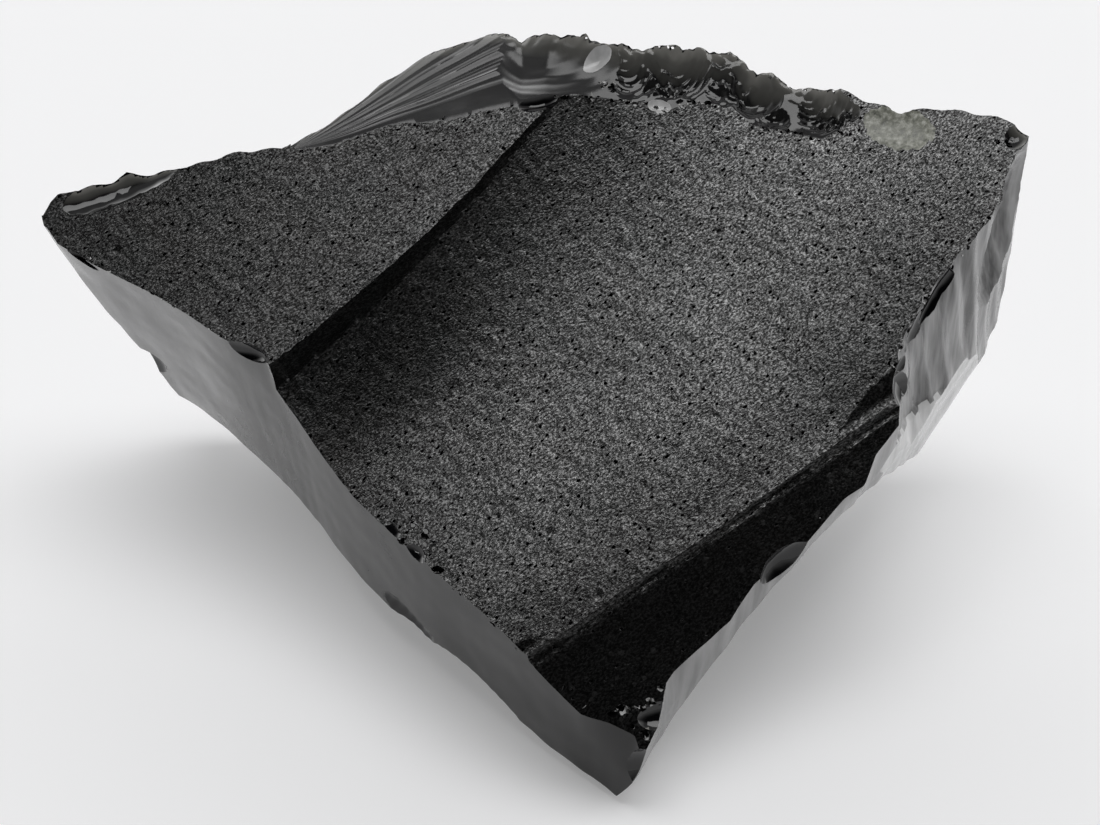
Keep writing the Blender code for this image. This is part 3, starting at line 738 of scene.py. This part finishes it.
frosted, tree, shader, place = new_material("frosted_flake")
sugar = node(tree, "ShaderNodeTexNoise", Vector=place, Scale=1500.0, Detail=4.0, Roughness=0.65)
sugar = sugar.outputs["Fac"]
bump = node(tree, "ShaderNodeBump", Strength=0.8, Distance=0.00006, Height=sugar)
fill(shader, {
    "Base Color": ramp(
        tree, sugar, (0.3, (0.06, 0.063, 0.052)), (0.5, (0.21, 0.215, 0.18)), (0.7, (0.50, 0.50, 0.46)),
    ),
    "Roughness": ramp(tree, sugar, (0.4, 0.3), (0.6, 0.5)), "Normal": bump.outputs["Normal"],
})

# Each scar: its spot, the way it faces and the way the blow ran, then length, width, depth and the
# height of its ripples.
TOP_OUT = (-0.09, -0.43, 0.90)
LEFT_OUT = (-0.62, -0.76, -0.10)
RIGHT_OUT = (0.87, -0.45, 0.15)
SCARS = {
    "oval_flake": ((34.3, 23.5, 42.7), TOP_OUT, (0.9, -0.3, 0.0), 8.0, 5.6, 0.6, 0.05),
    "wing_strip": ((-46.4, 20.6, 35.3), (-0.05, -0.25, 0.97), (0.94, 0.33, 0.2), 12.0, 3.6, 0.7, 0.0),
    "white_facet": ((5.2, 32.4, 44.5), (-0.25, -0.6, 0.75), (0.8, 0.45, 0.35), 4.0, 2.4, 0.7, 0.0),
    "bright_chip": ((11.4, 27.6, 42.2), (-0.1, -0.7, 0.7), (1.0, -0.2, 0.0), 3.0, 2.0, 0.5, 0.0),
    "step_head_chip": ((-1.0, 27.2, 42.6), TOP_OUT, (1.0, 0.3, 0.0), 3.6, 1.8, 0.6, 0.0),
    "left_slot": ((-47.4, 14.6, 31.7), LEFT_OUT, (0.7, -0.6, -0.3), 4.6, 1.4, 1.0, 0.0),
    "left_crack": ((-33.3, 4.4, 28.5), LEFT_OUT, (0.6, -0.5, -0.8), 3.2, 0.5, 0.5, 0.0),
    "plate_corner": ((-29.4, 4.2, 28.6), (-0.7, -0.6, 0.4), (0.7, -0.6, 0.3), 4.2, 2.4, 0.9, 0.0),
    "left_chip_1": ((-25.0, -0.4, 24.4), (-0.6, -0.6, 0.6), (0.7, -0.7, -0.3), 3.2, 2.4, 0.8, 0.0),
    "left_chip_2": ((-18.3, -7.4, 20.4), (-0.6, -0.6, 0.6), (0.7, -0.7, -0.3), 2.2, 1.6, 0.5, 0.0),
    "left_chip_3": ((-15.6, -10.2, 19.0), (-0.5, -0.6, 0.6), (0.7, -0.7, -0.3), 3.4, 2.6, 0.8, 0.0),
    "left_chip_4": ((-13.2, -12.6, 17.9), (-0.5, -0.6, 0.7), (0.7, -0.7, -0.3), 3.0, 2.4, 0.7, 0.0),
    "tip_chip": ((9.0, -27.2, 10.6), (0.62, -0.5, 0.6), (0.9, 0.4, -0.1), 3.6, 2.4, 0.6, 0.0),
    "tip_facet": ((8.0, -29.5, 6.0), (0.1, -1.0, 0.2), (1.0, 0.2, 0.0), 5.0, 4.5, 0.7, 0.0),
    "bevel_shell_1": ((21.8, -15.2, 18.2), (0.7, -0.6, 0.3), (0.6, 0.6, 0.5), 5.0, 3.6, 1.0, 0.0),
    "bevel_sliver": ((19.3, -19.3, 15.8), (0.7, -0.7, 0.1), (0.68, 0.6, 0.42), 7.5, 1.3, 0.7, 0.0),
    "right_notch_1": ((37.3, 6.0, 32.6), (0.58, -0.6, 0.55), (0.43, 0.76, 0.5), 5.5, 1.5, 0.45, 0.0),
    "right_notch_2": ((36.2, 3.4, 31.0), (0.5, -0.55, 0.65), (0.43, 0.76, 0.5), 6.5, 2.6, 0.6, 0.0),
    "right_notch_3": ((34.8, 1.2, 29.6), (0.7, -0.6, 0.4), (0.43, 0.76, 0.5), 4.5, 2.4, 0.6, 0.0),
    "right_hollow": ((45.0, 16.6, 31.0), RIGHT_OUT, (0.1, 0.25, 0.95), 13.0, 6.5, 1.0, 0.03),
    "right_cleft": ((34.9, 1.6, 27.4), RIGHT_OUT, (0.2, 0.35, -0.9), 5.5, 1.6, 0.8, 0.0),
    "right_tip_chip": ((46.3, 20.2, 43.3), (0.1, -0.2, 1.0), (0.3, 0.9, 0.2), 3.4, 2.6, 0.6, 0.0),
    "low_shell_1": ((-16.4, -9.4, 6.4), (-0.6, -0.72, -0.35), (0.76, -0.62, -0.2), 11.0, 4.6, 1.2, 0.05),
    "low_shell_2": ((-8.4, -15.6, 3.4), (-0.6, -0.72, -0.35), (0.76, -0.62, -0.2), 12.0, 4.2, 1.2, 0.05),
    "bulge_scar": ((-41.6, 11.4, 23.0), (-0.62, -0.75, -0.2), (0.6, -0.5, -0.6), 5.0, 3.0, 0.5, 0.05),
    "under_shell_1": ((-42.5, 17.6, 14.8), (-0.7, -0.3, -0.6), (0.7, -0.5, -0.3), 5.0, 4.0, 1.0, 0.0),
    "under_shell_2": ((-29.5, 7.5, 7.4), (-0.6, -0.5, -0.6), (0.7, -0.6, -0.1), 8.0, 4.0, 0.8, 0.0),
    "under_shell_3": ((-20.0, -6.0, 5.2), (-0.6, -0.5, -0.7), (0.7, -0.7, -0.1), 8.0, 4.4, 1.0, 0.0),
    "under_shell_5": ((-5.5, -20.5, 3.6), (-0.5, -0.6, -0.7), (0.7, -0.7, -0.1), 7.0, 4.0, 0.9, 0.0),
    "back_scoop_1": ((-6.0, 30.0, 20.0), (-0.3, 0.9, -0.3), (0.3, 0.2, 1.0), 36.0, 30.0, 4.0, 0.15),
    "back_scoop_2": ((22.0, 24.0, 20.0), (0.3, 0.9, -0.3), (0.2, 0.2, 1.0), 34.0, 26.0, 3.5, 0.15),
}
# The two glint scars take pale glass as painted highlights.
SCAR_GLASS = {
    "oval_flake": frosted, "white_facet": pale_glass, "bright_chip": pale_glass,
    "right_hollow": streaked_glass,
}
SCAR_RIPPLES, SCAR_CELLS = 9.0, 16.0
LEAST_CELL = 0.18
FINE_REACH, REACH = 0.8, 0.9
SCAR_SLAB = 24.0


def scar(name, spot, facing, along, length, width, depth, rings, material):
    ripple = max(length, width) / SCAR_RIPPLES
    cell = max(min(length, width) / SCAR_CELLS, LEAST_CELL)

    def face(x, y):
        bowl = -depth * (1.0 - (2.0 * x / length) ** 2 - (2.0 * y / width) ** 2)
        from_blow = math.hypot(x + length / 2.0, y) + 0.3 * swell(x, y, 2.0, 95.0)
        return bowl + 0.06 * swell(x, y, 1.0, 96.0) + rings * math.sin(2.0 * math.pi * from_blow / ripple)

    xs, ys = (
        lines(-REACH * size, -FINE_REACH * size, FINE_REACH * size, REACH * size, cell)
        for size in (length, width)
    )
    slab(name, Vector(spot), Vector(along), Vector(facing), xs, ys, face, material, SCAR_SLAB)


for name, shape in SCARS.items():
    scar(name, *shape, SCAR_GLASS.get(name, glass))

# ---------------------------------------------------------------------------------------------
# The sharp edges are crumbled: small pits of black glass, some facets painted white as glints. They
# gather where the edges are thinnest or were struck. Pits that would touch go into separate
# cutters, so that each cutter stays a set of closed shapes.
# ---------------------------------------------------------------------------------------------

crumbled, tree, shader, place = new_material("crumbled_glass")
painted_glint_cells = node(tree, "ShaderNodeTexVoronoi", Vector=place, Scale=2600.0).outputs["Color"]
# Some facets are painted white: painted glints.
tree.links.new(ramp(tree, painted_glint_cells, (0.66, 0.003), (0.74, 0.55)), shader.inputs["Base Color"])
shader.inputs["Roughness"].default_value = 0.08


def on_edge(ends, stations, distance):
    start, end = (Vector((*point, 0.0)) for point in ends)
    along = (end - start).normalized()
    outset, height, _ = at_station(stations, distance)
    return start + distance * along + outset * along.cross(Z_AXIS) + height * Z_AXIS


# Each stretch: its two ends, how many crumbs, and their least and greatest radius.
CHIPPED = [
    ((5.4, 29.4, 43.0), (9.4, 29.6, 43.0), 24, 0.3, 0.8),
    ((-26.0, 24.0, 38.9), (-3.5, 26.9, 42.5), 18, 0.15, 0.3),
    ((-15.6, -8.8, 20.0), (-12.0, -12.0, 18.6), 44, 0.3, 0.8),
    ((6.6, -26.4, 11.0), (10.0, -25.8, 11.4), 40, 0.3, 0.9),
    ((44.6, 20.6, 42.9), (46.6, 20.2, 42.9), 14, 0.3, 0.7),
]
for a, b in zip(BACK_EDGE[1:], BACK_EDGE[2:]):
    CHIPPED.append(((a[0], a[1], a[2]), (b[0], b[1], b[2]), 6, 0.15, 0.5))
    CHIPPED.append(((a[0], a[3], a[4]), (b[0], b[3], b[4]), 2, 0.12, 0.28))
# Along the standing breaks: from and to what distance, how many, and the two radii.
for ends, stations, stretches in (
    (LEFT_ENDS, LEFT_EDGE, (
        (43.0, 52.0, 26, 0.35, 1.0), (1.0, 43.0, 36, 0.15, 0.4), (52.0, 68.0, 16, 0.15, 0.4),
        (68.0, 75.0, 16, 0.3, 0.9),
    )),
    (BEVEL_ENDS, BEVEL_EDGE, ((0.0, 6.0, 14, 0.3, 0.8), (6.0, 34.0, 14, 0.15, 0.35))),
    (RIGHT_ENDS, RIGHT_EDGE, ((0.0, 10.0, 18, 0.3, 0.8), (10.0, 27.0, 20, 0.15, 0.45))),
):
    for first, last, count, least, most in stretches:
        start, middle, end = (on_edge(ends, stations, s) for s in (first, 0.5 * (first + last), last))
        CHIPPED.append((start, middle, count // 2, least, most))
        CHIPPED.append((middle, end, count // 2, least, most))

LAYERS = 3
CLEARANCE = 0.05
CRUMB_SPREAD = (0.5, 0.5, 0.15)
CRUMB_SHAPE = Matrix.Diagonal((1.0, 0.75, 0.55, 1.0))
source = random.Random(31)
layers = [(bmesh.new(), []) for _ in range(LAYERS)]
for start, end, count, least, most in CHIPPED:
    spreads = [share * most for share in CRUMB_SPREAD]
    for _ in range(count):
        spot = Vector(start).lerp(Vector(end), source.random())
        spot += Vector([source.gauss(0.0, spread) for spread in spreads])
        radius = source.uniform(least, most)
        turn = Matrix.Rotation(source.uniform(0.0, 6.0), 4, Vector((source.random(), source.random(), 1.0)))
        shape = Matrix.Scale(MM, 4) @ Matrix.Translation(spot) @ turn @ CRUMB_SHAPE
        for bm, taken in layers:
            if all((spot - other).length > radius + size + CLEARANCE for other, size in taken):
                taken.append((spot, radius))
                bmesh.ops.create_icosphere(bm, subdivisions=1, radius=radius, matrix=shape)
                break
for index, (bm, taken) in enumerate(layers):
    add_cutter(f"crumbs_{index}", bm, crumbled)

# ---------------------------------------------------------------------------------------------
# The finished stone: a block of glass, cut to a flat base and by every slab above. Each break is
# smooth inside and sharp where it meets another. It is one solid piece, lying free on the floor.
# ---------------------------------------------------------------------------------------------

BASE_LINES = [-80.0, 80.0]
BLOCK_MIDDLE, BLOCK_SIZE = (-2.0, 4.0, 22.0), (108.0, 76.0, 54.0)
SHARPEST_SMOOTH = math.radians(32.0)
slab("base", Vector(), X_AXIS, -Z_AXIS, BASE_LINES, BASE_LINES, lambda x, y: 0.0, glass)

bm = bmesh.new()
bmesh.ops.create_cube(bm, size=1.0)
block = Matrix.Translation(BLOCK_MIDDLE) @ Matrix.Diagonal((*BLOCK_SIZE, 1.0))
bmesh.ops.transform(bm, matrix=Matrix.Scale(MM, 4) @ block, verts=bm.verts[:])
mesh = bpy.data.meshes.new("stone")
bm.to_mesh(mesh)
bm.free()
mesh.materials.append(skin)
stone = bpy.data.objects.new("stone", mesh)
bpy.context.scene.collection.objects.link(stone)
# The plain breaks are cut first, so that the fine skin is cut only once.
for cutter in sorted(cutters, key=lambda cutter: len(cutter.data.polygons)):
    bpy.context.scene.collection.objects.link(cutter)
    cut = stone.modifiers.new(cutter.name, "BOOLEAN")
    cut.operation = "DIFFERENCE"
    cut.solver = "MANIFOLD"
    cut.object = cutter
    cut.material_mode = "TRANSFER"
carved = bpy.data.meshes.new_from_object(stone.evaluated_get(bpy.context.evaluated_depsgraph_get()))
stone.modifiers.clear()
stone.data = carved
for cutter in cutters:
    bpy.data.objects.remove(cutter, do_unlink=True)
carved.shade_smooth()
carved.set_sharp_from_angle(angle=SHARPEST_SMOOTH)

# How far the glass reaches behind each point, up to ten millimetres, lets its thin edges show.
THICKEST, JUST_INSIDE = 0.01, 2e-5
bm = bmesh.new()
bm.from_mesh(carved)
solid = BVHTree.FromBMesh(bm)
depths = []
for vert in bm.verts:
    start = vert.co - vert.normal * JUST_INSIDE
    far_side = solid.ray_cast(start, -vert.normal, THICKEST)[3]
    depths.append(min((far_side or THICKEST) / THICKEST, 1.0))
bm.free()
carved.attributes.new("thickness", "FLOAT", "POINT").data.foreach_set("value", depths)

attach(stone, "root")
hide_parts("obsidian_chunk")

# ---------------------------------------------------------------------------------------------
# The floor is a wide sheet of matt white card. It glows slightly, in place of the light that the
# rest of a white studio would throw back at it.
# ---------------------------------------------------------------------------------------------

FLOOR_HALF = 2.0
bm = bmesh.new()
bmesh.ops.create_grid(bm, x_segments=1, y_segments=1, size=FLOOR_HALF)
mesh = bpy.data.meshes.new("floor")
bm.to_mesh(mesh)
bm.free()
floor = bpy.data.objects.new("floor", mesh)
bpy.context.scene.collection.objects.link(floor)
card, tree, shader, place = new_material("white_card")
fill(shader, {
    "Base Color": (0.76, 0.76, 0.77, 1.0), "Emission Color": (1.0, 1.0, 1.0, 1.0), "Emission Strength": 0.21,
    "Roughness": 0.9, "Specular IOR Level": 0.1,
})
mesh.materials.append(card)

# ---------------------------------------------------------------------------------------------
# The light is one wide soft box overhead, a little behind the stone. The room is bright low down,
# brighter behind the table, and dark in front above it.
# ---------------------------------------------------------------------------------------------

lamp = bpy.data.lights.new("soft_box", "AREA")
lamp.shape = "RECTANGLE"
lamp.size = 2.6
lamp.size_y = 1.3
lamp.energy = 37.0
lamp_object = bpy.data.objects.new("soft_box", lamp)
bpy.context.scene.collection.objects.link(lamp_object)
lamp_object.location = (0.25, 0.5, 2.4)

world = bpy.data.worlds.new("pale_room")
bpy.context.scene.world = world
world.use_nodes = True
tree = world.node_tree
toward = node(tree, "ShaderNodeSeparateXYZ", Vector=tree.nodes.new("ShaderNodeTexCoord").outputs["Generated"])
behind = ramp(tree, toward.outputs["Z"], (0.2, 1.0), (0.4, 0.55), (0.62, 0.13), (0.9, 0.12))
before = ramp(tree, toward.outputs["Z"], (0.1, 0.2), (0.4, 0.04), (0.62, 0.0), (0.9, 0.0))
glow = node(tree, "ShaderNodeMix", Factor=ramp(tree, toward.outputs["Y"], (0.0, 0.0), (0.25, 1.0)))
glow.data_type = "RGBA"
tree.links.new(before, glow.inputs["A"])
tree.links.new(behind, glow.inputs["B"])
fill(tree.nodes["Background"], {"Color": glow.outputs["Result"], "Strength": 3.0})
bpy.context.scene.view_settings.view_transform = "Standard"

# ---------------------------------------------------------------------------------------------
# The camera looks down on the stone at 45 degrees, from 260 mm.
# ---------------------------------------------------------------------------------------------

AIM = Vector((0.0, 0.001, 0.024))
DISTANCE, DOWN = 0.26, math.radians(45.0)
camera = bpy.data.cameras.new("camera")
camera.lens = 85.0
camera.sensor_width = 36.0
camera.clip_start = 0.01
camera_object = bpy.data.objects.new("camera", camera)
bpy.context.scene.collection.objects.link(camera_object)
away = Vector((0.0, -math.cos(DOWN), math.sin(DOWN)))
camera_object.location = AIM + DISTANCE * away
camera_object.rotation_euler = (-away).to_track_quat("-Z", "Y").to_euler()
bpy.context.scene.camera = camera_object

bpy.context.view_layer.update()
